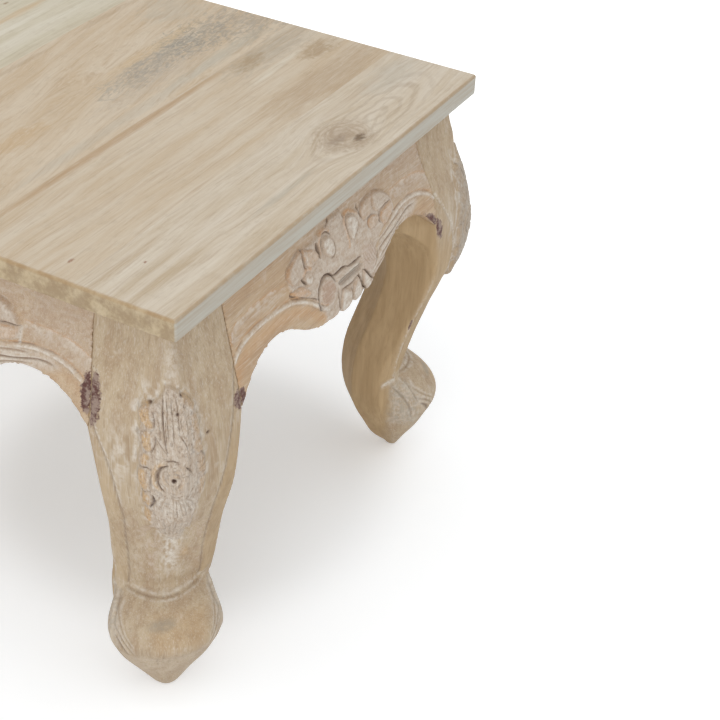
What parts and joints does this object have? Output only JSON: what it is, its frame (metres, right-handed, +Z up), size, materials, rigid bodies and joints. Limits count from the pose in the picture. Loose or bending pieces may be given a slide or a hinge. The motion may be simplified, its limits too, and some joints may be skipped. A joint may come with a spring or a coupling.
{
  "type": "low table",
  "caption": "Square bajot low table with a plank top, carved double-arch aprons and cabriole legs set on the diagonals.",
  "frame": {"origin": "on the floor under the middle of the top", "axes": "+Z up, +X and +Y square to the sides, and the boards of the top run along X"},
  "size_m": [0.518, 0.518, 0.425],
  "materials": {
    "top_boards": "limed and waxed, matt",
    "aprons": "carved and limed, matt",
    "legs": "carved and limed, matt",
    "corner_blocks": "sawn, unfinished",
    "screws": "zinc plated"
  },
  "bodies": {
    "root": {"top_board_1": "top_boards", "top_board_2": "top_boards", "top_board_3": "top_boards", "top_board_4": "top_boards", "apron_front": "aprons", "apron_right": "aprons", "apron_back": "aprons", "apron_left": "aprons", "leg_front_left": "legs", "leg_front_right": "legs", "leg_back_right": "legs", "leg_back_left": "legs", "corner_block_front_left": "corner_blocks", "corner_block_front_right": "corner_blocks", "corner_block_back_right": "corner_blocks", "corner_block_back_left": "corner_blocks", "leg_screw_front_left_1": "screws", "leg_screw_front_left_2": "screws", "top_screw_front_left_1": "screws", "top_screw_front_left_2": "screws", "leg_screw_front_right_1": "screws", "leg_screw_front_right_2": "screws", "top_screw_front_right_1": "screws", "top_screw_front_right_2": "screws", "leg_screw_back_right_1": "screws", "leg_screw_back_right_2": "screws", "top_screw_back_right_1": "screws", "top_screw_back_right_2": "screws", "leg_screw_back_left_1": "screws", "leg_screw_back_left_2": "screws", "top_screw_back_left_1": "screws", "top_screw_back_left_2": "screws"}
  },
  "joints": []
}
